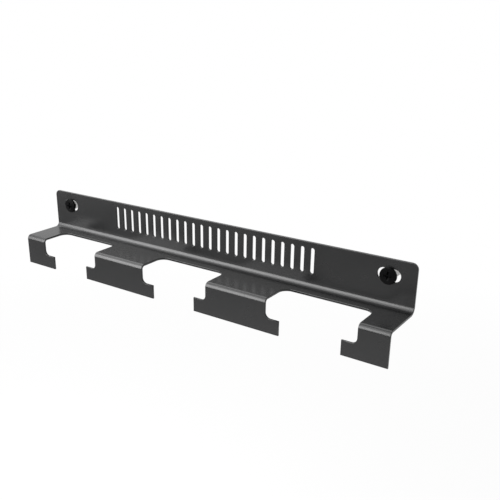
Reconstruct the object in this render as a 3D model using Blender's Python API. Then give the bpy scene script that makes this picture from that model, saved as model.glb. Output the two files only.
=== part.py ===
"""A wall rack that hangs power tool batteries: one bent sheet of steel, held by two screws in wall plugs.

The sheet is drawn flat, then folded: a back plate against the wall, a shelf that comes forward from
it, and a flange that hangs from the front of the shelf. Three bays are cut through the shelf and the
flange. At the foot of the flange each bay narrows between two lips, which carry a battery's rails.

Units are metres. X runs along the rack, -Y faces the room and +Z is up. The origin is on the wall,
halfway along the rack, at the height of the screw slots' middles.
"""

import math

import bmesh
import bpy
from mathutils import Vector

# Sheet
SHEET = 0.0015
CONCAVE_RADIUS = 0.0033  # between plate and shelf, on the upper face
CONVEX_RADIUS = 0.0033  # between shelf and flange, on the upper face

# Folded profile
PLATE_HEIGHT = 0.0300  # top of the shelf to the plate's top edge
RACK_DEPTH = 0.0343  # wall to the flange's front face
FLANGE_DROP = 0.02275  # top of the shelf to the flange's foot
PLATE_CORNER_RADIUS = 0.0040

# Bays and tabs, from left to right
END_TAB_WIDTH = 0.01955
MIDDLE_TAB_WIDTH = 0.04625
BAY_1_WIDTH = 0.0550
BAY_2_WIDTH = 0.0556
BAY_3_WIDTH = 0.0621
BAY_REAR = 0.0118  # wall to the rear edge of each cut
BAY_CORNER_RADIUS = 0.0060
LIP_REACH = 0.00985
LIP_HEIGHT = 0.0098
LIP_FILLET = 0.0037

# Screw slots
SLOT_LENGTH = 0.0148
SLOT_HEIGHT = 0.0082
SLOT_FROM_END = 0.01715
SLOT_FROM_TOP = 0.0102

# Plain slots cut through the middle of the plate
GRILLE_COUNT = 24
GRILLE_PITCH = 0.0073
GRILLE_SLOT_WIDTH = 0.0028
GRILLE_SLOT_HEIGHT = 0.0170
GRILLE_FROM_TOP = 0.0038

# Screws
SCREW_DROP = 0.0002  # how far their axes lie under the middles of the slots
HEAD_DIAMETER = 0.0107
HEAD_HEIGHT = 0.0018
HEAD_CROWN = 0.0003  # height of the domed top within the head
HEAD_RIM_RADIUS = 0.0004
RECESS_SPAN = 0.0060
RECESS_WING = 0.0014
RECESS_DEPTH = 0.0012
RECESS_TIP_SHARE = 0.45
SCREW_LENGTH = 0.0190
NECK_LENGTH = 0.0032
NECK_DIAMETER = 0.0032
ROOT_DIAMETER = 0.0028
CREST_DIAMETER = 0.0042
THREAD_PITCH = 0.0014
THREAD_BASE = 0.0009
POINT_LENGTH = 0.0045
POINT_DIAMETER = 0.0006

# Wall plugs
PLUG_DIAMETER = 0.0070
PLUG_LENGTH = 0.0180
PLUG_BORE_CLEARANCE = 0.0003
PLUG_RIB_DEPTH = 0.0004
PLUG_RIB_COUNT = 5
PLUG_COLLAR_LENGTH = 0.0035
PLUG_NOSE_LENGTH = 0.0030
PLUG_NOSE_SHARE = 0.78
PLUG_SLIT_WIDTH = 0.0010
PLUG_SLIT_LENGTH = 0.0115

TOUCH_GAP = 0.0003  # between two pieces that bear on each other
OVERRUN = 0.0010  # how far a cutter runs past what it cuts
THREAD_SINK = 0.0003  # how far the ridge of the thread is rooted in its core

# Facets
BEND_STEPS = 6
CORNER_STEPS = 6
SLOT_END_STEPS = 6
SCREW_SLOT_END_STEPS = 12
HEAD_SIDES = 32
SHANK_SIDES = 12
PLUG_SIDES = 24
ROUND_ANGLE = math.radians(40)

# Distances down the flat sheet, from the plate's top edge
PLATE_FLAT_END = PLATE_HEIGHT - CONCAVE_RADIUS
SHELF_START = PLATE_FLAT_END + math.pi / 2 * CONCAVE_RADIUS
SHELF_FRONT_Y = RACK_DEPTH - CONVEX_RADIUS
SHELF_END = SHELF_START + SHELF_FRONT_Y - SHEET - CONCAVE_RADIUS
FLANGE_START = SHELF_END + math.pi / 2 * CONVEX_RADIUS
SHEET_FOOT = FLANGE_START + FLANGE_DROP - CONVEX_RADIUS
LIP_TOP = SHEET_FOOT - LIP_HEIGHT

BAY_WIDTHS = (BAY_1_WIDTH, BAY_2_WIDTH, BAY_3_WIDTH)
RACK_LENGTH = 2 * END_TAB_WIDTH + 2 * MIDDLE_TAB_WIDTH + sum(BAY_WIDTHS)
SCREW_X = RACK_LENGTH / 2 - SLOT_FROM_END
SHELF_TOP_Z = SLOT_FROM_TOP - PLATE_HEIGHT


def clear_scene():
    for obj in list(bpy.data.objects):
        bpy.data.objects.remove(obj, do_unlink=True)


def material(name, colour, roughness, metallic):
    made = bpy.data.materials.new(name)
    made.use_nodes = True
    shader = made.node_tree.nodes["Principled BSDF"]
    shader.inputs["Base Color"].default_value = (*colour, 1)
    shader.inputs["Roughness"].default_value = roughness
    shader.inputs["Metallic"].default_value = metallic
    made.diffuse_color = (*colour, 1)
    return made


def mesh_of(bm, name, finish, smooth=True):
    """Closes the bmesh into a mesh of one material, with its faces pointing out."""
    bmesh.ops.recalc_face_normals(bm, faces=bm.faces)
    mesh = bpy.data.meshes.new(name)
    bm.to_mesh(mesh)
    bm.free()
    mesh.materials.append(finish)
    if smooth:
        mesh.shade_smooth()
        mesh.set_sharp_from_angle(angle=ROUND_ANGLE)
    return mesh


def add_object(name, mesh, location=(0, 0, 0), turn=0.0, parent=None):
    obj = bpy.data.objects.new(name, mesh)
    obj.location = location
    obj.rotation_euler = (turn, 0, 0)
    obj.parent = parent
    bpy.context.scene.collection.objects.link(obj)
    return obj


def helper(name, bm):
    """A cutter or an added shape, which isn't a piece of the rack."""
    bmesh.ops.recalc_face_normals(bm, faces=bm.faces)
    mesh = bpy.data.meshes.new(name)
    bm.to_mesh(mesh)
    bm.free()
    obj = add_object(name, mesh)
    obj.hide_render = True
    obj.display_type = "WIRE"
    return obj


def combine(body, others, name, finish):
    """Applies each (operation, helper) to the body, and gives back the finished mesh."""
    for operation, other in others:
        step = body.modifiers.new(other.name, "BOOLEAN")
        step.operation = operation
        step.solver = "EXACT"
        step.object = other
    graph = bpy.context.evaluated_depsgraph_get()
    result = bpy.data.meshes.new_from_object(body.evaluated_get(graph))
    for obj in [body] + [other for _, other in others]:
        bpy.data.objects.remove(obj, do_unlink=True)
    bm = bmesh.new()
    bm.from_mesh(result)
    bpy.data.meshes.remove(result)
    return mesh_of(bm, name, finish)


def arc(centre, radius, start, end, steps):
    """Points on an arc in the plane of the flat sheet, with angles in quarter turns."""
    points = []
    for step in range(steps + 1):
        angle = (start + (end - start) * step / steps) * math.pi / 2
        points.append((centre[0] + radius * math.cos(angle), centre[1] + radius * math.sin(angle)))
    return points


def bay_cut(left, width):
    """The edge of one bay, from its left lip at the sheet's foot round to its right lip."""
    right = left + width
    back = SHELF_START + BAY_REAR - SHEET - CONCAVE_RADIUS
    corner = BAY_CORNER_RADIUS
    fillet = LIP_FILLET
    points = [(left + LIP_REACH, SHEET_FOOT), (left + LIP_REACH, LIP_TOP)]
    points += arc((left + fillet, LIP_TOP - fillet), fillet, 1, 2, CORNER_STEPS)
    points += arc((left + corner, back + corner), corner, 2, 3, CORNER_STEPS)
    points += arc((right - corner, back + corner), corner, 3, 4, CORNER_STEPS)
    points += arc((right - fillet, LIP_TOP - fillet), fillet, 0, 1, CORNER_STEPS)
    points += [(right - LIP_REACH, LIP_TOP), (right - LIP_REACH, SHEET_FOOT)]
    return points


def bay_lefts():
    """Where each bay's left wall is along X."""
    lefts = []
    x = END_TAB_WIDTH - RACK_LENGTH / 2
    for width in BAY_WIDTHS:
        lefts.append(x)
        x += width + MIDDLE_TAB_WIDTH
    return lefts


def sheet_outline():
    """The outer edge of the flat sheet as (x, distance from the top edge)."""
    half = RACK_LENGTH / 2
    corner = PLATE_CORNER_RADIUS
    points = arc((half - corner, corner), corner, 4, 3, CORNER_STEPS)
    points += arc((corner - half, corner), corner, 3, 2, CORNER_STEPS)
    points.append((-half, SHEET_FOOT))
    for left, width in zip(bay_lefts(), BAY_WIDTHS):
        points += bay_cut(left, width)
    points.append((half, SHEET_FOOT))
    return points


def slot_outline(centre_x, centre_v, width, height, steps):
    """A slot with round ends, lying along its longer side."""
    radius = min(width, height) / 2
    x = width / 2 - radius
    v = height / 2 - radius
    if width > height:
        ends = [(centre_x + x, centre_v, -1), (centre_x - x, centre_v, 1)]
    else:
        ends = [(centre_x, centre_v + v, 0), (centre_x, centre_v - v, 2)]
    points = []
    for end_x, end_v, start in ends:
        points += arc((end_x, end_v), radius, start, start + 2, steps)
    return points


def sheet_holes():
    holes = []
    for x in (-SCREW_X, SCREW_X):
        holes.append(slot_outline(x, SLOT_FROM_TOP, SLOT_LENGTH, SLOT_HEIGHT, SCREW_SLOT_END_STEPS))
    grille_v = GRILLE_FROM_TOP + GRILLE_SLOT_HEIGHT / 2
    for index in range(GRILLE_COUNT):
        x = (index - (GRILLE_COUNT - 1) / 2) * GRILLE_PITCH
        holes.append(slot_outline(x, grille_v, GRILLE_SLOT_WIDTH, GRILLE_SLOT_HEIGHT, SLOT_END_STEPS))
    return holes


def bend_lines():
    """Distances from the top edge where the sheet changes direction."""
    lines = []
    for start, radius in ((PLATE_FLAT_END, CONCAVE_RADIUS), (SHELF_END, CONVEX_RADIUS)):
        for step in range(BEND_STEPS + 1):
            lines.append(start + math.pi / 2 * radius * step / BEND_STEPS)
    return lines


def folded(x, down, depth):
    """Where a point of the flat sheet lies once it is folded. depth runs into the sheet from its upper face."""
    if down <= PLATE_FLAT_END:
        return Vector((x, depth - SHEET, SLOT_FROM_TOP - down))
    if down < SHELF_START:
        angle = (down - PLATE_FLAT_END) / CONCAVE_RADIUS
        radius = CONCAVE_RADIUS + depth
        y = radius * math.cos(angle) - SHEET - CONCAVE_RADIUS
        return Vector((x, y, SHELF_TOP_Z + CONCAVE_RADIUS - radius * math.sin(angle)))
    if down <= SHELF_END:
        return Vector((x, SHELF_START - down - SHEET - CONCAVE_RADIUS, SHELF_TOP_Z - depth))
    if down < FLANGE_START:
        angle = (down - SHELF_END) / CONVEX_RADIUS
        radius = CONVEX_RADIUS - depth
        z = SHELF_TOP_Z - CONVEX_RADIUS + radius * math.cos(angle)
        return Vector((x, -SHELF_FRONT_Y - radius * math.sin(angle), z))
    return Vector((x, depth - RACK_DEPTH, SHELF_TOP_Z - CONVEX_RADIUS - down + FLANGE_START))


def rack_mesh(finish):
    """The sheet: drawn flat, cut, thickened and folded."""
    bm = bmesh.new()
    for points in [sheet_outline()] + sheet_holes():
        verts = [bm.verts.new((x, v, 0)) for x, v in points]
        for vert, following in zip(verts, verts[1:] + verts[:1]):
            bm.edges.new((vert, following))
    bmesh.ops.triangle_fill(bm, use_beauty=True, use_dissolve=False, edges=bm.edges)
    for down in bend_lines():
        geometry = bm.verts[:] + bm.edges[:] + bm.faces[:]
        bmesh.ops.bisect_plane(bm, geom=geometry, plane_co=(0, down, 0), plane_no=(0, 1, 0))
    raised = bmesh.ops.extrude_face_region(bm, geom=bm.faces[:])
    lower = [item for item in raised["geom"] if isinstance(item, bmesh.types.BMVert)]
    bmesh.ops.translate(bm, verts=lower, vec=(0, 0, SHEET))
    for vert in bm.verts:
        vert.co = folded(*vert.co)
    return mesh_of(bm, "rack", finish)


def turned(profile, sides):
    """A closed shape turned about Z from (radius, height) points. The first and last lie on the axis."""
    bm = bmesh.new()
    foot = bm.verts.new((0, 0, profile[0][1]))
    top = bm.verts.new((0, 0, profile[-1][1]))
    rings = []
    for radius, height in profile[1:-1]:
        ring = []
        for side in range(sides):
            angle = 2 * math.pi * side / sides
            ring.append(bm.verts.new((radius * math.cos(angle), radius * math.sin(angle), height)))
        rings.append(ring)
    for side in range(sides):
        after = (side + 1) % sides
        bm.faces.new((foot, rings[0][after], rings[0][side]))
        bm.faces.new((top, rings[-1][side], rings[-1][after]))
        for ring, above in zip(rings, rings[1:]):
            bm.faces.new((ring[side], ring[after], above[after], above[side]))
    return bm


def head_profile():
    """The pan head, from its flat seat at height 0 up to its crown."""
    radius = HEAD_DIAMETER / 2
    edge = radius - HEAD_RIM_RADIUS
    shoulder = HEAD_HEIGHT - HEAD_CROWN - HEAD_RIM_RADIUS
    points = [(0, 0), (radius, 0), (radius, shoulder)]
    for step in range(1, CORNER_STEPS + 1):
        angle = math.pi / 2 * step / CORNER_STEPS
        y = shoulder + HEAD_RIM_RADIUS * math.sin(angle)
        points.append((edge + HEAD_RIM_RADIUS * math.cos(angle), y))
    for step in range(1, CORNER_STEPS):
        share = step / CORNER_STEPS
        points.append((edge * (1 - share), HEAD_HEIGHT - HEAD_CROWN * (1 - share) ** 2))
    points.append((0, HEAD_HEIGHT))
    return points


def core_radius(depth):
    """The shank's radius at a depth under the head."""
    if depth < NECK_LENGTH:
        return NECK_DIAMETER / 2
    taper = max(0, (depth - SCREW_LENGTH + POINT_LENGTH) / POINT_LENGTH)
    return (ROOT_DIAMETER + (POINT_DIAMETER - ROOT_DIAMETER) * taper) / 2


def core_shape():
    """The shank without its thread, running down from inside the head."""
    taper_start = SCREW_LENGTH - POINT_LENGTH
    points = [(0, -SCREW_LENGTH)]
    for depth in (SCREW_LENGTH, taper_start, NECK_LENGTH):
        points.append((core_radius(depth), -depth))
    points.append((NECK_DIAMETER / 2, THREAD_PITCH / 2 - NECK_LENGTH))
    points.append((NECK_DIAMETER / 2, HEAD_HEIGHT / 4))
    points.append((0, HEAD_HEIGHT / 4))
    return turned(points, SHANK_SIDES)


def thread_shape():
    """The thread's ridge, a three-cornered strip wound round the core and thinning out at both ends."""
    turns = (SCREW_LENGTH - POINT_LENGTH / 2 - NECK_LENGTH) / THREAD_PITCH
    steps = int(turns * SHANK_SIDES)
    bm = bmesh.new()
    sections = []
    for step in range(steps + 1):
        angle = 2 * math.pi * step / SHANK_SIDES
        depth = NECK_LENGTH + THREAD_PITCH * step / SHANK_SIDES
        fade = min(1, step / SHANK_SIDES, (steps - step) / SHANK_SIDES)
        inner = max(core_radius(depth) - THREAD_SINK, POINT_DIAMETER / 4)
        height = (CREST_DIAMETER - ROOT_DIAMETER) / 2 * fade
        outer = core_radius(depth) - THREAD_SINK / 2 + (height + THREAD_SINK / 2) * fade
        base = THREAD_BASE / 2
        corners = ((inner, -depth - base), (outer, -depth), (inner, base - depth))
        section = []
        for radius, z in corners:
            section.append(bm.verts.new((radius * math.cos(angle), radius * math.sin(angle), z)))
        sections.append(section)
    for section, after in zip(sections, sections[1:]):
        for corner in range(3):
            other = (corner + 1) % 3
            bm.faces.new((section[corner], section[other], after[other], after[corner]))
    bm.faces.new(sections[0])
    bm.faces.new(sections[-1])
    return bm


def recess_shape(turn):
    """One of the two crossed wedges that cut the drive recess into the crown."""
    half_span = RECESS_SPAN / 2
    half_wing = RECESS_WING / 2
    floor = HEAD_HEIGHT - RECESS_DEPTH
    top = HEAD_HEIGHT + OVERRUN
    spread = 1 + (1 - RECESS_TIP_SHARE) * OVERRUN / RECESS_DEPTH
    bm = bmesh.new()
    rings = []
    for height, share in ((floor, RECESS_TIP_SHARE), (top, spread)):
        ring = []
        for across, along in ((-1, -1), (1, -1), (1, 1), (-1, 1)):
            point = Vector((across * half_span * share, along * half_wing * share, height))
            point.rotate(turn)
            ring.append(bm.verts.new(point))
        rings.append(ring)
    lower, upper = rings
    bm.faces.new(lower[::-1])
    bm.faces.new(upper)
    for corner in range(4):
        other = (corner + 1) % 4
        bm.faces.new((lower[corner], lower[other], upper[other], upper[corner]))
    return bm


def screw_mesh(finish):
    """A pan head screw with a cross recess. Its seat is at height 0 and its point is below."""
    head = helper("screw_head", turned(head_profile(), HEAD_SIDES))
    core = helper("screw_core", core_shape())
    thread = helper("screw_thread", thread_shape())
    level = Vector((0, 1, 0)).rotation_difference(Vector((0, 1, 0)))
    upright = Vector((1, 0, 0)).rotation_difference(Vector((0, 1, 0)))
    cut_across = helper("recess_across", recess_shape(level))
    cut_upright = helper("recess_upright", recess_shape(upright))
    steps = [("UNION", core), ("UNION", thread), ("DIFFERENCE", cut_across), ("DIFFERENCE", cut_upright)]
    return combine(head, steps, "screw", finish)


def plug_profile():
    """The wall plug's outside from its nose up to its flat front, with ribs along the grip."""
    outer = PLUG_DIAMETER / 2
    inner = outer - PLUG_RIB_DEPTH
    nose = PLUG_NOSE_LENGTH - PLUG_LENGTH
    grip = -PLUG_COLLAR_LENGTH - nose
    points = [(0, -PLUG_LENGTH), (outer * PLUG_NOSE_SHARE, -PLUG_LENGTH)]
    for rib in range(PLUG_RIB_COUNT):
        foot = nose + grip * rib / PLUG_RIB_COUNT
        points.append((inner, foot))
        points.append((outer, foot + grip / PLUG_RIB_COUNT / 2))
    points += [(inner, -PLUG_COLLAR_LENGTH), (outer, -PLUG_COLLAR_LENGTH + PLUG_RIB_DEPTH)]
    points += [(outer, 0), (0, 0)]
    return points


def plug_mesh(finish):
    """A ribbed plug with a bore right through it, split from the nose so that it can spread."""
    bore = CREST_DIAMETER / 2 + PLUG_BORE_CLEARANCE
    body = helper("plug_body", turned(plug_profile(), PLUG_SIDES))
    through = [(0, -PLUG_LENGTH - OVERRUN), (bore, -PLUG_LENGTH - OVERRUN), (bore, OVERRUN), (0, OVERRUN)]
    drill = helper("plug_bore", turned(through, PLUG_SIDES))
    slit = bmesh.new()
    bmesh.ops.create_cube(slit, size=1)
    reach = PLUG_DIAMETER + 2 * OVERRUN
    height = PLUG_SLIT_LENGTH + OVERRUN
    bmesh.ops.scale(slit, vec=(reach, PLUG_SLIT_WIDTH, height), verts=slit.verts)
    bmesh.ops.translate(slit, vec=(0, 0, -PLUG_LENGTH - OVERRUN + height / 2), verts=slit.verts)
    saw = helper("plug_slit", slit)
    return combine(body, [("DIFFERENCE", drill), ("DIFFERENCE", saw)], "plug", finish)


def main():
    clear_scene()
    powder_coat = material("black_powder_coat", (0.035, 0.036, 0.038), 0.45, 0.0)
    black_steel = material("blackened_steel", (0.012, 0.012, 0.013), 0.35, 0.8)
    nylon = material("pale_nylon", (0.84, 0.84, 0.82), 0.5, 0.0)

    holder = add_object("battery_rack", None)
    add_object("rack", rack_mesh(powder_coat), parent=holder)
    screw = screw_mesh(black_steel)
    plug = plug_mesh(nylon)
    facing_room = math.pi / 2
    for side, x in (("left", -SCREW_X), ("right", SCREW_X)):
        seat = (x, -SHEET - TOUCH_GAP, -SCREW_DROP)
        add_object(f"{side}_screw", screw, seat, facing_room, holder)
        add_object(f"{side}_wall_plug", plug, (x, TOUCH_GAP, -SCREW_DROP), facing_room, holder)


main()
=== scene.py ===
"""The looks of the wall battery holder: its fine meshes, materials, studio light, floor and camera.

The coated steel rack, the two screws and the two wall plugs are drawn again with fine curves and
rounded edges. Each one stands for its solid in the frame and rides on that solid's body.
"""

import math

import bmesh
import bpy
from mathutils import Matrix, Vector


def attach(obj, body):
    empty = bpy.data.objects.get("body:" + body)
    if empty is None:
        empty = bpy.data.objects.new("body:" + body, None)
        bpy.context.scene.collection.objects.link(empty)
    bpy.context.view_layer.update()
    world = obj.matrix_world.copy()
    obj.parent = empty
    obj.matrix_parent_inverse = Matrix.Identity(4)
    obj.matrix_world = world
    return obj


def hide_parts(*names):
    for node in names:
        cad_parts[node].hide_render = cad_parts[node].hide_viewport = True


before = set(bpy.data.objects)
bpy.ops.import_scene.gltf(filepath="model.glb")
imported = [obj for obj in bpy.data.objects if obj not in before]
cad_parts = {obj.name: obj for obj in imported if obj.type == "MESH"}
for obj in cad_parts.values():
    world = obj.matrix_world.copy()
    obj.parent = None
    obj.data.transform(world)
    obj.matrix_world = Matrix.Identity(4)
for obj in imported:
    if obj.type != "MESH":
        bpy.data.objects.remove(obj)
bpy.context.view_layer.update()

# Sheet
SHEET = 0.0015
CONCAVE_RADIUS = 0.0033
CONVEX_RADIUS = 0.0033
EDGE_RADIUS = 0.00028  # coating rounds each cut edge

# Folded profile
PLATE_HEIGHT = 0.0300
RACK_DEPTH = 0.0343
FLANGE_DROP = 0.02275
PLATE_CORNER_RADIUS = 0.0040

# Bays and tabs, from left to right
END_TAB_WIDTH = 0.01955
MIDDLE_TAB_WIDTH = 0.04625
BAY_WIDTHS = (0.0550, 0.0556, 0.0621)
BAY_REAR = 0.0118
BAY_CORNER_RADIUS = 0.0060
LIP_REACH = 0.00985
LIP_HEIGHT = 0.0098
LIP_FILLET = 0.0037

# Slots for the screws
SLOT_LENGTH = 0.0148
SLOT_HEIGHT = 0.0082
SLOT_FROM_END = 0.01715
SLOT_FROM_TOP = 0.0102

# Plain slots through the middle of the plate
GRILLE_COUNT = 24
GRILLE_PITCH = 0.0073
GRILLE_SLOT_WIDTH = 0.0028
GRILLE_SLOT_HEIGHT = 0.0170
GRILLE_FROM_TOP = 0.0038

# Screws
SCREW_DROP = 0.0002  # how far their axes lie under the middles of the slots
HEAD_DIAMETER = 0.0107
HEAD_HEIGHT = 0.0018
HEAD_CROWN = 0.0003
HEAD_RIM_RADIUS = 0.0004
HEAD_FOOT_RADIUS = 0.00015
RECESS_SPAN = 0.0060
RECESS_WING = 0.0014
RECESS_DEPTH = 0.0012
RECESS_TIP_SHARE = 0.45
RECESS_EDGE = 0.00008
SCREW_LENGTH = 0.0190
NECK_LENGTH = 0.0032
NECK_DIAMETER = 0.0032
ROOT_DIAMETER = 0.0028
CREST_DIAMETER = 0.0042
THREAD_PITCH = 0.0014
POINT_LENGTH = 0.0045
POINT_DIAMETER = 0.0006
THREAD_WIDTH_SHARE = 0.55

# Wall plugs
PLUG_DIAMETER = 0.0070
PLUG_LENGTH = 0.0180
PLUG_BORE = 0.0048
PLUG_RIB_DEPTH = 0.0004
PLUG_RIB_COUNT = 5
PLUG_COLLAR_LENGTH = 0.0035
PLUG_NOSE_LENGTH = 0.0030
PLUG_NOSE_SHARE = 0.78
PLUG_SLIT_WIDTH = 0.0010
PLUG_SLIT_LENGTH = 0.0115
PLUG_EDGE = 0.00015

TOUCH_GAP = 0.0003  # air between the plate and the heads, and between the plate and the plugs
OVERRUN = 0.0010  # how far a cutter runs past what it cuts
CLOSE = 1e-7  # two points this near are one

# Facets
BEND_STEPS = 20
CORNER_STEPS = 16
SLOT_END_STEPS = 12
RIM_STEPS = 4
EDGE_STEPS = 3
ROUND_SIDES = 64
THREAD_ROWS = 10
SHANK_SIDES = 32
SHARP_DEGREES = 35  # edges sharper than this are rounded
FLAT_WEIGHT = 100  # large faces take over the shading of the small ones beside them

# Distances down the flat sheet, from the plate's top edge
PLATE_FLAT_END = PLATE_HEIGHT - CONCAVE_RADIUS
SHELF_START = PLATE_FLAT_END + math.pi / 2 * CONCAVE_RADIUS
SHELF_FRONT_Y = RACK_DEPTH - CONVEX_RADIUS
SHELF_END = SHELF_START + SHELF_FRONT_Y - SHEET - CONCAVE_RADIUS
FLANGE_START = SHELF_END + math.pi / 2 * CONVEX_RADIUS
SHEET_FOOT = FLANGE_START + FLANGE_DROP - CONVEX_RADIUS
LIP_TOP = SHEET_FOOT - LIP_HEIGHT

RACK_LENGTH = 2 * END_TAB_WIDTH + 2 * MIDDLE_TAB_WIDTH + sum(BAY_WIDTHS)
SCREW_X = RACK_LENGTH / 2 - SLOT_FROM_END
SHELF_TOP_Z = SLOT_FROM_TOP - PLATE_HEIGHT

# Camera, solved from the photograph's straight edges
PHOTO_SIZE = 500
CAMERA_AZIMUTH = 0.6418
CAMERA_ELEVATION = 0.3652
CAMERA_ROLL = -0.0053
CAMERA_DISTANCE = 0.49386
CAMERA_TARGET = (0.004115, 0.0, -0.030964)
FOCAL_PIXELS = 696.6
CENTRE_PIXEL = (211.64, 276.83)
SENSOR_WIDTH = 36.0
CLIP_START = 0.01
CLIP_END = 50

# Materials. A noise is its scale per metre, its detail and its roughness.
# A bump is its strength and its height in metres.
NOISE_LOW = 0.3
NOISE_HIGH = 0.7
COAT_IOR = 1.46
COAT_COLOURS = ((0.005, 0.0051, 0.0053), (0.008, 0.0081, 0.0084))
COAT_ROUGHNESS = (0.24, 0.28)
STIPPLE_NOISE = (2200, 3, 0.6)
STIPPLE_BUMP = (0.45, 0.00002)
PEEL_NOISE = (520, 2, 0.5)
PEEL_BUMP = (0.35, 0.00004)
CLOUD_NOISE = (60, 3, 0.5)
STEEL_IOR = 1.45
STEEL_SPECULAR = 0.06
STEEL_COLOURS = ((0.001, 0.001, 0.0011), (0.003, 0.003, 0.0032))
STEEL_ROUGHNESS = (0.22, 0.30)
STEEL_NOISE = (1800, 3, 0.5)
STEEL_BUMP = (0.2, 0.00001)
NYLON_IOR = 1.53
NYLON_COLOURS = ((0.84, 0.84, 0.82), (0.90, 0.90, 0.88))
NYLON_ROUGHNESS = (0.42, 0.55)
NYLON_NOISE = (350, 4, 0.5)
NYLON_BUMP = (0.2, 0.00002)

# The Mix node's sockets for colours
MIX_FIRST = 6
MIX_SECOND = 7
MIX_RESULT = 2

# Studio
FLOOR_DROP = 0.45
FLOOR_RADIUS = 8.0
FLOOR_SIDES = 96
FLOOR_PAINT = (0.88, 0.88, 0.88, 1)
FLOOR_FRONT = -0.9  # nearer than this a reflection sees the floor's paint alone
FLOOR_BACK = -0.3  # farther than this it sees as much of the white as the camera does
FLOOR_NEAR = 0.3
FLOOR_FAR = 1.2
FLOOR_GLOW_SHARE = 0.85  # of the background's white, under the rack
WORLD_FILL = 0.45
LIGHT_DISTANCE = 0.9
LIGHT_SIDE = -0.5  # how far each lamp's direction leans along X

# Name, degrees up and over from the level front, width, length and radiance
SOFTBOXES = (
    ("front_softbox", 22, 0.80, 0.70, 7.8),
    ("top_softbox", 60, 0.80, 0.50, 3.2),
    ("back_softbox", 108, 0.80, 0.50, 2.2),
)


def new_material(name):
    made = bpy.data.materials.new(name)
    made.use_nodes = True
    made.node_tree.nodes.clear()
    return made, made.node_tree.nodes, made.node_tree.links


def add_node(nodes, kind, **values):
    node = nodes.new(kind)
    for key, value in values.items():
        if key in node.inputs:
            node.inputs[key].default_value = value
        else:
            setattr(node, key, value)
    return node


def noise(nodes, links, place, scale, detail, roughness):
    made = add_node(nodes, "ShaderNodeTexNoise", Scale=scale, Detail=detail, Roughness=roughness)
    links.new(place.outputs["Object"], made.inputs["Vector"])
    return made.outputs["Fac"]


def ranged(nodes, links, source, low, high, start=NOISE_LOW, stop=NOISE_HIGH):
    """A value that runs from low to high as the source runs from start to stop."""
    made = nodes.new("ShaderNodeMapRange")
    made.inputs["From Min"].default_value = start
    made.inputs["From Max"].default_value = stop
    made.inputs["To Min"].default_value = low
    made.inputs["To Max"].default_value = high
    links.new(source, made.inputs["Value"])
    return made.outputs["Result"]


def blended(nodes, links, source, first, second):
    """A colour that runs from first to second as the source runs from 0 to 1."""
    made = nodes.new("ShaderNodeMix")
    made.data_type = "RGBA"
    made.inputs[MIX_FIRST].default_value = (*first, 1)
    made.inputs[MIX_SECOND].default_value = (*second, 1)
    links.new(source, made.inputs[0])
    return made.outputs[MIX_RESULT]


def bumped(nodes, links, source, strength, distance, under=None):
    made = add_node(nodes, "ShaderNodeBump", Strength=strength, Distance=distance)
    links.new(source, made.inputs["Height"])
    if under is not None:
        links.new(under, made.inputs["Normal"])
    return made.outputs["Normal"]


def surfaced(nodes, links, ior):
    """The material's shader, joined to its output, and the coordinates that its noises use."""
    place = nodes.new("ShaderNodeTexCoord")
    shader = add_node(nodes, "ShaderNodeBsdfPrincipled", Metallic=0.0, IOR=ior)
    out = nodes.new("ShaderNodeOutputMaterial")
    links.new(shader.outputs["BSDF"], out.inputs["Surface"])
    return shader, place


def dress(nodes, links, shader, grain, colours, cloud, roughness, normal):
    """Lets the colour follow the grain and the roughness follow the cloud, and sets the bump."""
    tone = ranged(nodes, links, grain, 0.0, 1.0)
    links.new(blended(nodes, links, tone, *colours), shader.inputs["Base Color"])
    links.new(ranged(nodes, links, cloud, *roughness), shader.inputs["Roughness"])
    links.new(normal, shader.inputs["Normal"])


def powder_coat():
    """Satin black powder coat: fine stipple on a slight orange peel."""
    made, nodes, links = new_material("satin_powder_coat")
    shader, place = surfaced(nodes, links, COAT_IOR)
    stipple = noise(nodes, links, place, *STIPPLE_NOISE)
    peel = noise(nodes, links, place, *PEEL_NOISE)
    cloud = noise(nodes, links, place, *CLOUD_NOISE)
    under = bumped(nodes, links, peel, *PEEL_BUMP)
    normal = bumped(nodes, links, stipple, *STIPPLE_BUMP, under)
    dress(nodes, links, shader, stipple, COAT_COLOURS, cloud, COAT_ROUGHNESS, normal)
    return made


def blackened_steel():
    """Black oxide on the screws, with a fine grain and little shine."""
    made, nodes, links = new_material("blackened_screw_steel")
    shader, place = surfaced(nodes, links, STEEL_IOR)
    shader.inputs["Specular IOR Level"].default_value = STEEL_SPECULAR
    grain = noise(nodes, links, place, *STEEL_NOISE)
    normal = bumped(nodes, links, grain, *STEEL_BUMP)
    dress(nodes, links, shader, grain, STEEL_COLOURS, grain, STEEL_ROUGHNESS, normal)
    return made


def nylon():
    """Pale moulded nylon with a little flow mottling."""
    made, nodes, links = new_material("moulded_nylon")
    shader, place = surfaced(nodes, links, NYLON_IOR)
    mottle = noise(nodes, links, place, *NYLON_NOISE)
    normal = bumped(nodes, links, mottle, *NYLON_BUMP)
    dress(nodes, links, shader, mottle, NYLON_COLOURS, mottle, NYLON_ROUGHNESS, normal)
    return made


def arc(centre, radius, start, end, steps):
    """Points on an arc in the plane of the flat sheet, with angles in quarter turns."""
    points = []
    for step in range(steps + 1):
        angle = (start + (end - start) * step / steps) * math.pi / 2
        points.append((centre[0] + radius * math.cos(angle), centre[1] + radius * math.sin(angle)))
    return points


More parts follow.
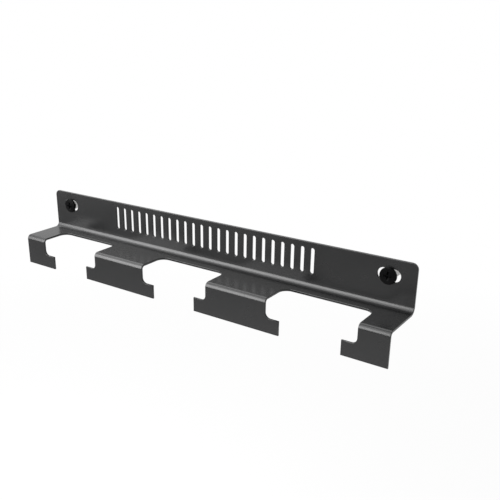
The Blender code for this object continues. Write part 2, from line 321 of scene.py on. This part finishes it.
def bay_cut(left, width):
    """The edge of one bay, from its left lip at the sheet's foot round to its right lip."""
    right = left + width
    back = SHELF_START + BAY_REAR - SHEET - CONCAVE_RADIUS
    corner = BAY_CORNER_RADIUS
    fillet = LIP_FILLET
    points = [(left + LIP_REACH, SHEET_FOOT), (left + LIP_REACH, LIP_TOP)]
    points += arc((left + fillet, LIP_TOP - fillet), fillet, 1, 2, CORNER_STEPS)
    points += arc((left + corner, back + corner), corner, 2, 3, CORNER_STEPS)
    points += arc((right - corner, back + corner), corner, 3, 4, CORNER_STEPS)
    points += arc((right - fillet, LIP_TOP - fillet), fillet, 0, 1, CORNER_STEPS)
    points += [(right - LIP_REACH, LIP_TOP), (right - LIP_REACH, SHEET_FOOT)]
    return points


def sheet_outline():
    """The outer edge of the flat sheet as (x, distance from the top edge)."""
    half = RACK_LENGTH / 2
    corner = PLATE_CORNER_RADIUS
    points = arc((half - corner, corner), corner, 4, 3, CORNER_STEPS)
    points += arc((corner - half, corner), corner, 3, 2, CORNER_STEPS)
    points.append((-half, SHEET_FOOT))
    x = END_TAB_WIDTH - half
    for width in BAY_WIDTHS:
        points += bay_cut(x, width)
        x += width + MIDDLE_TAB_WIDTH
    points.append((half, SHEET_FOOT))
    return points


def slot_outline(centre_x, centre_v, width, height):
    """A slot with round ends, lying along its longer side."""
    radius = min(width, height) / 2
    x = width / 2 - radius
    v = height / 2 - radius
    if width > height:
        ends = [(centre_x + x, centre_v, -1), (centre_x - x, centre_v, 1)]
    else:
        ends = [(centre_x, centre_v + v, 0), (centre_x, centre_v - v, 2)]
    points = []
    for end_x, end_v, start in ends:
        points += arc((end_x, end_v), radius, start, start + 2, SLOT_END_STEPS)
    return points


def sheet_holes():
    holes = [slot_outline(x, SLOT_FROM_TOP, SLOT_LENGTH, SLOT_HEIGHT) for x in (-SCREW_X, SCREW_X)]
    grille_v = GRILLE_FROM_TOP + GRILLE_SLOT_HEIGHT / 2
    for index in range(GRILLE_COUNT):
        x = (index - (GRILLE_COUNT - 1) / 2) * GRILLE_PITCH
        holes.append(slot_outline(x, grille_v, GRILLE_SLOT_WIDTH, GRILLE_SLOT_HEIGHT))
    return holes


def signed_area(points):
    total = 0.0
    for (x0, v0), (x1, v1) in zip(points, points[1:] + points[:1]):
        total += x0 * v1 - x1 * v0
    return total / 2


def inset(points, distance, hole):
    """The same outline moved into the material by a distance."""
    inward = 1 if signed_area(points) > 0 else -1
    if hole:
        inward = -inward
    moved = []
    count = len(points)
    for index, here in enumerate(points):
        here = Vector(here)
        before = (here - Vector(points[index - 1])).normalized()
        after = (Vector(points[(index + 1) % count]) - here).normalized()
        first = Vector((-before.y, before.x)) * inward
        second = Vector((-after.y, after.x)) * inward
        mitre = (first + second) / (1 + first.dot(second))
        moved.append(tuple(here + mitre * distance))
    return moved


def rim():
    """(inset, depth) of each ring round a cut edge, from the upper face to the lower one."""
    rings = []
    for step in range(RIM_STEPS + 1):
        angle = step / RIM_STEPS * math.pi / 2
        rings.append((EDGE_RADIUS * (1 - math.sin(angle)), EDGE_RADIUS * (1 - math.cos(angle))))
    return rings + [(into, SHEET - depth) for into, depth in reversed(rings)]


def folded(x, down, depth):
    """Where a point of the flat sheet lies once it is folded.

    depth runs into the sheet from its upper face.
    """
    if down <= PLATE_FLAT_END:
        return Vector((x, depth - SHEET, SLOT_FROM_TOP - down))
    if down < SHELF_START:
        angle = (down - PLATE_FLAT_END) / CONCAVE_RADIUS
        radius = CONCAVE_RADIUS + depth
        y = radius * math.cos(angle) - SHEET - CONCAVE_RADIUS
        return Vector((x, y, SHELF_TOP_Z + CONCAVE_RADIUS - radius * math.sin(angle)))
    if down <= SHELF_END:
        return Vector((x, SHELF_START - down - SHEET - CONCAVE_RADIUS, SHELF_TOP_Z - depth))
    if down < FLANGE_START:
        angle = (down - SHELF_END) / CONVEX_RADIUS
        radius = CONVEX_RADIUS - depth
        z = SHELF_TOP_Z - CONVEX_RADIUS + radius * math.cos(angle)
        return Vector((x, -SHELF_FRONT_Y - radius * math.sin(angle), z))
    return Vector((x, depth - RACK_DEPTH, SHELF_TOP_Z - CONVEX_RADIUS - down + FLANGE_START))


def bend_lines():
    """Distances from the top edge where the sheet changes direction."""
    lines = []
    for start, radius in ((PLATE_FLAT_END, CONCAVE_RADIUS), (SHELF_END, CONVEX_RADIUS)):
        for step in range(BEND_STEPS + 1):
            lines.append(start + math.pi / 2 * radius * step / BEND_STEPS)
    return lines


def placed(name, bm):
    """An object from the bmesh, which is freed."""
    bmesh.ops.recalc_face_normals(bm, faces=bm.faces)
    mesh = bpy.data.meshes.new(name)
    bm.to_mesh(mesh)
    bm.free()
    obj = bpy.data.objects.new(name, mesh)
    bpy.context.scene.collection.objects.link(obj)
    return obj


def finished(bm, name, finish):
    """A piece from the bmesh, shaded smooth, with its large faces kept flat."""
    obj = placed(name, bm)
    obj.data.materials.append(finish)
    obj.data.shade_smooth()
    shading = obj.modifiers.new("flat_faces", "WEIGHTED_NORMAL")
    shading.weight = FLAT_WEIGHT
    return obj


def rack_sheet(finish):
    """The sheet with rounded edges: drawn flat, then folded."""
    bm = bmesh.new()
    upper, lower = [], []
    for index, points in enumerate([sheet_outline()] + sheet_holes()):
        rings = []
        for into, depth in rim():
            ring = [bm.verts.new((x, v, depth)) for x, v in inset(points, into, index > 0)]
            rings.append(ring)
        count = len(points)
        for ring, below in zip(rings, rings[1:]):
            for here in range(count):
                there = (here + 1) % count
                bm.faces.new((ring[here], ring[there], below[there], below[here]))
        for edges, ring in ((upper, rings[0]), (lower, rings[-1])):
            for here in range(count):
                edges.append(bm.edges.get((ring[here], ring[(here + 1) % count])))
    bmesh.ops.triangle_fill(bm, use_beauty=True, use_dissolve=False, edges=upper)
    bmesh.ops.triangle_fill(bm, use_beauty=True, use_dissolve=False, edges=lower)
    for down in bend_lines():
        geometry = bm.verts[:] + bm.edges[:] + bm.faces[:]
        bmesh.ops.bisect_plane(
            bm, geom=geometry, dist=CLOSE, plane_co=(0, down, 0), plane_no=(0, 1, 0)
        )
    for vert in bm.verts:
        vert.co = folded(*vert.co)
    return finished(bm, "coated_sheet", finish)


def turned(profile, sides):
    """A closed shape turned about Z from (radius, height) points.

    The first point and the last lie on the axis.
    """
    bm = bmesh.new()
    foot = bm.verts.new((0, 0, profile[0][1]))
    top = bm.verts.new((0, 0, profile[-1][1]))
    rings = []
    for radius, height in profile[1:-1]:
        ring = []
        for side in range(sides):
            angle = 2 * math.pi * side / sides
            ring.append(bm.verts.new((radius * math.cos(angle), radius * math.sin(angle), height)))
        rings.append(ring)
    for side in range(sides):
        after = (side + 1) % sides
        bm.faces.new((foot, rings[0][after], rings[0][side]))
        bm.faces.new((top, rings[-1][side], rings[-1][after]))
        for ring, above in zip(rings, rings[1:]):
            bm.faces.new((ring[side], ring[after], above[after], above[side]))
    return bm


def cut(body, cutters, edge):
    """The body's mesh with the cutters taken out of it and its sharp edges rounded."""
    for cutter in cutters:
        step = body.modifiers.new(cutter.name, "BOOLEAN")
        step.operation = "DIFFERENCE"
        step.solver = "EXACT"
        step.object = cutter
    bevel = body.modifiers.new("edges", "BEVEL")
    bevel.width = edge
    bevel.segments = EDGE_STEPS
    bevel.limit_method = "ANGLE"
    bevel.angle_limit = math.radians(SHARP_DEGREES)
    graph = bpy.context.evaluated_depsgraph_get()
    mesh = bpy.data.meshes.new_from_object(body.evaluated_get(graph))
    for obj in [body] + cutters:
        bpy.data.objects.remove(obj, do_unlink=True)
    bm = bmesh.new()
    bm.from_mesh(mesh)
    bpy.data.meshes.remove(mesh)
    return bm


def head_profile():
    """The pan head, from its flat seat at height 0 up to its crown."""
    radius = HEAD_DIAMETER / 2
    edge = radius - HEAD_RIM_RADIUS
    shoulder = HEAD_HEIGHT - HEAD_CROWN - HEAD_RIM_RADIUS
    foot = HEAD_FOOT_RADIUS
    eighth = math.pi / 4
    points = [(0, 0), (NECK_DIAMETER / 2, 0), (radius - foot, 0)]
    points += [(radius - foot * (1 - math.sin(eighth)), foot * (1 - math.cos(eighth)))]
    points += [(radius, foot), (radius, shoulder)]
    for step in range(1, CORNER_STEPS + 1):
        angle = math.pi / 2 * step / CORNER_STEPS
        height = shoulder + HEAD_RIM_RADIUS * math.sin(angle)
        points.append((edge + HEAD_RIM_RADIUS * math.cos(angle), height))
    for step in range(1, CORNER_STEPS):
        share = step / CORNER_STEPS
        points.append((edge * (1 - share), HEAD_HEIGHT - HEAD_CROWN * (1 - share) ** 2))
    points.append((0, HEAD_HEIGHT))
    return points


def recess_wedge(turn):
    """One of the two crossed wedges of the drive recess."""
    floor = HEAD_HEIGHT - RECESS_DEPTH
    top = HEAD_HEIGHT + OVERRUN
    spread = 1 + (1 - RECESS_TIP_SHARE) * OVERRUN / RECESS_DEPTH
    turning = Matrix.Rotation(turn, 3, "Z")
    bm = bmesh.new()
    rings = []
    for height, share in ((floor, RECESS_TIP_SHARE), (top, spread)):
        x = RECESS_SPAN / 2 * share
        y = RECESS_WING / 2 * share
        ring = []
        for across, along in ((-1, -1), (1, -1), (1, 1), (-1, 1)):
            ring.append(bm.verts.new(turning @ Vector((across * x, along * y, height))))
        rings.append(ring)
    lower, upper = rings
    bm.faces.new(lower[::-1])
    bm.faces.new(upper)
    for corner in range(4):
        other = (corner + 1) % 4
        bm.faces.new((lower[corner], lower[other], upper[other], upper[corner]))
    return bm


def core_radius(depth):
    """The shank's radius at a depth under the head."""
    if depth < NECK_LENGTH:
        return NECK_DIAMETER / 2
    taper = max(0, (depth - SCREW_LENGTH + POINT_LENGTH) / POINT_LENGTH)
    return (ROOT_DIAMETER + (POINT_DIAMETER - ROOT_DIAMETER) * taper) / 2


def thread_rise(depth, angle):
    """How far the thread stands out of the core at a place on the shank."""
    along = (depth - NECK_LENGTH) / THREAD_PITCH - angle / (2 * math.pi)
    from_crest = abs(along - math.floor(along) - 0.5) * 2
    ridge = max(0, 1 - from_crest / THREAD_WIDTH_SHARE)
    fade_in = min(1, max(0, (depth - NECK_LENGTH) / THREAD_PITCH))
    fade_out = min(1, max(0, (SCREW_LENGTH - depth) / POINT_LENGTH))
    return (CREST_DIAMETER - ROOT_DIAMETER) / 2 * ridge * fade_in * fade_out


def screw_shank(bm):
    """Adds the neck, the thread and the point under the head."""
    rows = int((SCREW_LENGTH - NECK_LENGTH) / THREAD_PITCH * THREAD_ROWS)
    depths = [-HEAD_HEIGHT / 4, 0, NECK_LENGTH / 2]
    depths += [NECK_LENGTH + (SCREW_LENGTH - NECK_LENGTH) * row / rows for row in range(rows + 1)]
    rings = []
    for depth in depths:
        ring = []
        for side in range(SHANK_SIDES):
            angle = 2 * math.pi * side / SHANK_SIDES
            radius = core_radius(depth) + thread_rise(depth, angle)
            ring.append(bm.verts.new((radius * math.cos(angle), radius * math.sin(angle), -depth)))
        rings.append(ring)
    for ring, below in zip(rings, rings[1:]):
        for side in range(SHANK_SIDES):
            after = (side + 1) % SHANK_SIDES
            bm.faces.new((ring[side], below[side], below[after], ring[after]))
    bm.faces.new(rings[0])
    bm.faces.new(rings[-1][::-1])


def stood_in_wall(bm, x, y):
    """Turns a shape from along Z to along the screw's axis, and moves its height 0 to y."""
    place = Matrix.Translation((x, y, -SCREW_DROP)) @ Matrix.Rotation(math.pi / 2, 4, "X")
    bmesh.ops.transform(bm, matrix=place, verts=bm.verts)


def screw(name, x, finish):
    head = placed(name + "_head", turned(head_profile(), ROUND_SIDES))
    wedges = [
        placed(name + "_recess", recess_wedge(0)),
        placed(name + "_cross", recess_wedge(math.pi / 2)),
    ]
    bm = cut(head, wedges, RECESS_EDGE)
    screw_shank(bm)
    stood_in_wall(bm, x, -SHEET - TOUCH_GAP)
    return finished(bm, name, finish)


def plug_profile():
    """The wall plug's outside from its nose up to its flat front, with saw-tooth ribs."""
    outer = PLUG_DIAMETER / 2
    inner = outer - PLUG_RIB_DEPTH
    nose = PLUG_NOSE_LENGTH - PLUG_LENGTH
    grip = -PLUG_COLLAR_LENGTH - nose
    points = [(0, -PLUG_LENGTH), (outer * PLUG_NOSE_SHARE, -PLUG_LENGTH)]
    for rib in range(PLUG_RIB_COUNT):
        foot = nose + grip * rib / PLUG_RIB_COUNT
        points.append((inner, foot))
        points.append((outer, foot + grip / PLUG_RIB_COUNT / 2))
    points += [(inner, -PLUG_COLLAR_LENGTH), (outer, -PLUG_COLLAR_LENGTH + PLUG_RIB_DEPTH)]
    points += [(outer, 0), (0, 0)]
    return points


def plug(name, x, finish):
    body = placed(name + "_body", turned(plug_profile(), ROUND_SIDES))
    bore = PLUG_BORE / 2
    foot = -PLUG_LENGTH - OVERRUN
    through = [(0, foot), (bore, foot), (bore, OVERRUN), (0, OVERRUN)]
    drill = placed(name + "_bore", turned(through, ROUND_SIDES))
    slit = bmesh.new()
    bmesh.ops.create_cube(slit, size=1)
    height = PLUG_SLIT_LENGTH + OVERRUN
    size = (PLUG_DIAMETER + 2 * OVERRUN, PLUG_SLIT_WIDTH, height)
    bmesh.ops.scale(slit, vec=size, verts=slit.verts)
    bmesh.ops.translate(slit, vec=(0, 0, foot + height / 2), verts=slit.verts)
    bm = cut(body, [drill, placed(name + "_slit", slit)], PLUG_EDGE)
    stood_in_wall(bm, x, TOUCH_GAP)
    return finished(bm, name, finish)


def stand_in(piece, node, body):
    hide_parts(node)
    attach(piece, body)


def joined(nodes, links, operation, first, second):
    """The result of a sum done on two values."""
    made = add_node(nodes, "ShaderNodeMath", operation=operation)
    links.new(first, made.inputs[0])
    links.new(second, made.inputs[1])
    return made.outputs[0]


def ray_kinds(nodes, links):
    """Whether a ray comes from the camera, and whether it comes from a mirror or through glass."""
    path = nodes.new("ShaderNodeLightPath")
    glossy, glass = path.outputs["Is Glossy Ray"], path.outputs["Is Transmission Ray"]
    return path.outputs["Is Camera Ray"], joined(nodes, links, "MAXIMUM", glossy, glass)


def make_world():
    """White to the camera, in reflections and through glass, and a weaker fill light otherwise."""
    world = bpy.data.worlds.new("studio")
    world.use_nodes = True
    nodes, links = world.node_tree.nodes, world.node_tree.links
    nodes.clear()
    background = nodes.new("ShaderNodeBackground")
    out = nodes.new("ShaderNodeOutputWorld")
    background.inputs["Color"].default_value = (1, 1, 1, 1)
    direct, mirrored = ray_kinds(nodes, links)
    seen = joined(nodes, links, "MAXIMUM", direct, mirrored)
    strength = ranged(nodes, links, seen, WORLD_FILL, 1.0, 0.0, 1.0)
    links.new(strength, background.inputs["Strength"])
    links.new(background.outputs[0], out.inputs["Surface"])
    bpy.context.scene.world = world


def make_floor():
    """A pale floor well under the rack, which runs out into the white background.

    Reflections see less of its white in front of the rack, where a studio is darker.
    """
    bm = bmesh.new()
    bmesh.ops.create_circle(bm, cap_ends=True, segments=FLOOR_SIDES, radius=FLOOR_RADIUS)
    mesh = bpy.data.meshes.new("studio_floor")
    bm.to_mesh(mesh)
    bm.free()
    floor = bpy.data.objects.new("studio_floor", mesh)
    floor.location = (0, 0, -FLOOR_DROP)
    bpy.context.scene.collection.objects.link(floor)
    made, nodes, links = new_material("pale_floor")
    paint = add_node(nodes, "ShaderNodeBsdfDiffuse", Color=FLOOR_PAINT)
    glow = add_node(nodes, "ShaderNodeEmission", Strength=1.0)
    place = nodes.new("ShaderNodeTexCoord")
    away = add_node(nodes, "ShaderNodeVectorMath", operation="LENGTH")
    links.new(place.outputs["Object"], away.inputs[0])
    apart = nodes.new("ShaderNodeSeparateXYZ")
    links.new(place.outputs["Object"], apart.inputs[0])
    behind = ranged(nodes, links, apart.outputs["Y"], 0.0, 1.0, FLOOR_FRONT, FLOOR_BACK)
    away_range = (FLOOR_GLOW_SHARE, 1.0, FLOOR_NEAR, FLOOR_FAR)
    ring = ranged(nodes, links, away.outputs["Value"], *away_range)
    direct, mirrored = ray_kinds(nodes, links)
    mirrored = joined(nodes, links, "MULTIPLY", mirrored, behind)
    seen = joined(nodes, links, "MAXIMUM", mirrored, direct)
    share = joined(nodes, links, "MULTIPLY", seen, ring)
    mix = nodes.new("ShaderNodeMixShader")
    links.new(share, mix.inputs[0])
    links.new(paint.outputs[0], mix.inputs[1])
    links.new(glow.outputs[0], mix.inputs[2])
    out = nodes.new("ShaderNodeOutputMaterial")
    links.new(mix.outputs[0], out.inputs["Surface"])
    mesh.materials.append(made)


def softbox(name, direction, width, length, radiance):
    """A rectangular lamp that faces the rack, with its length in the plane across the rack."""
    data = bpy.data.lights.new(name, "AREA")
    data.shape = "RECTANGLE"
    data.size = width
    data.size_y = length
    data.energy = radiance * math.pi * width * length
    lamp = bpy.data.objects.new(name, data)
    toward = Vector(direction).normalized()
    side = Vector((1, 0, 0)) - toward * toward.x
    side.normalize()
    along = toward.cross(side)
    turn = Matrix((side, along, toward)).transposed().to_4x4()
    lamp.matrix_world = Matrix.Translation(toward * LIGHT_DISTANCE) @ turn
    lamp.visible_camera = False
    bpy.context.scene.collection.objects.link(lamp)


def make_lights():
    """A large softbox in front and to the left, and weaker ones above and over the back."""
    rest = math.sqrt(1 - LIGHT_SIDE**2)
    for name, pitch, width, length, radiance in SOFTBOXES:
        angle = math.radians(pitch)
        direction = (LIGHT_SIDE, -rest * math.cos(angle), rest * math.sin(angle))
        softbox(name, direction, width, length, radiance)


def make_camera():
    """The photograph's camera."""
    right = Vector((math.cos(CAMERA_AZIMUTH), math.sin(CAMERA_AZIMUTH), 0))
    level = math.cos(CAMERA_ELEVATION)
    back = Vector((
        math.sin(CAMERA_AZIMUTH) * level,
        -math.cos(CAMERA_AZIMUTH) * level,
        math.sin(CAMERA_ELEVATION),
    ))
    up = back.cross(right)
    across = right * math.cos(CAMERA_ROLL) + up * math.sin(CAMERA_ROLL)
    upward = up * math.cos(CAMERA_ROLL) - right * math.sin(CAMERA_ROLL)
    data = bpy.data.cameras.new("photo_camera")
    data.sensor_fit = "HORIZONTAL"
    data.sensor_width = SENSOR_WIDTH
    data.lens = FOCAL_PIXELS * SENSOR_WIDTH / PHOTO_SIZE
    data.shift_x = (PHOTO_SIZE / 2 - CENTRE_PIXEL[0]) / PHOTO_SIZE
    data.shift_y = (CENTRE_PIXEL[1] - PHOTO_SIZE / 2) / PHOTO_SIZE
    data.clip_start = CLIP_START
    data.clip_end = CLIP_END
    camera = bpy.data.objects.new("photo_camera", data)
    turn = Matrix((across, upward, back)).transposed().to_4x4()
    place = Vector(CAMERA_TARGET) + back * CAMERA_DISTANCE
    camera.matrix_world = Matrix.Translation(place) @ turn
    bpy.context.scene.collection.objects.link(camera)
    bpy.context.scene.camera = camera


coat = powder_coat()
steel = blackened_steel()
plastic = nylon()
stand_in(rack_sheet(coat), "rack", "rack")
for side_name, screw_x in (("left", -SCREW_X), ("right", SCREW_X)):
    made_screw = screw(f"{side_name}_pan_screw", screw_x, steel)
    stand_in(made_screw, f"{side_name}_screw", f"{side_name}_screw")
    made_plug = plug(f"{side_name}_ribbed_plug", screw_x, plastic)
    stand_in(made_plug, f"{side_name}_wall_plug", "fixings")

make_world()
make_floor()
make_lights()
make_camera()
bpy.context.scene.view_settings.view_transform = "Standard"
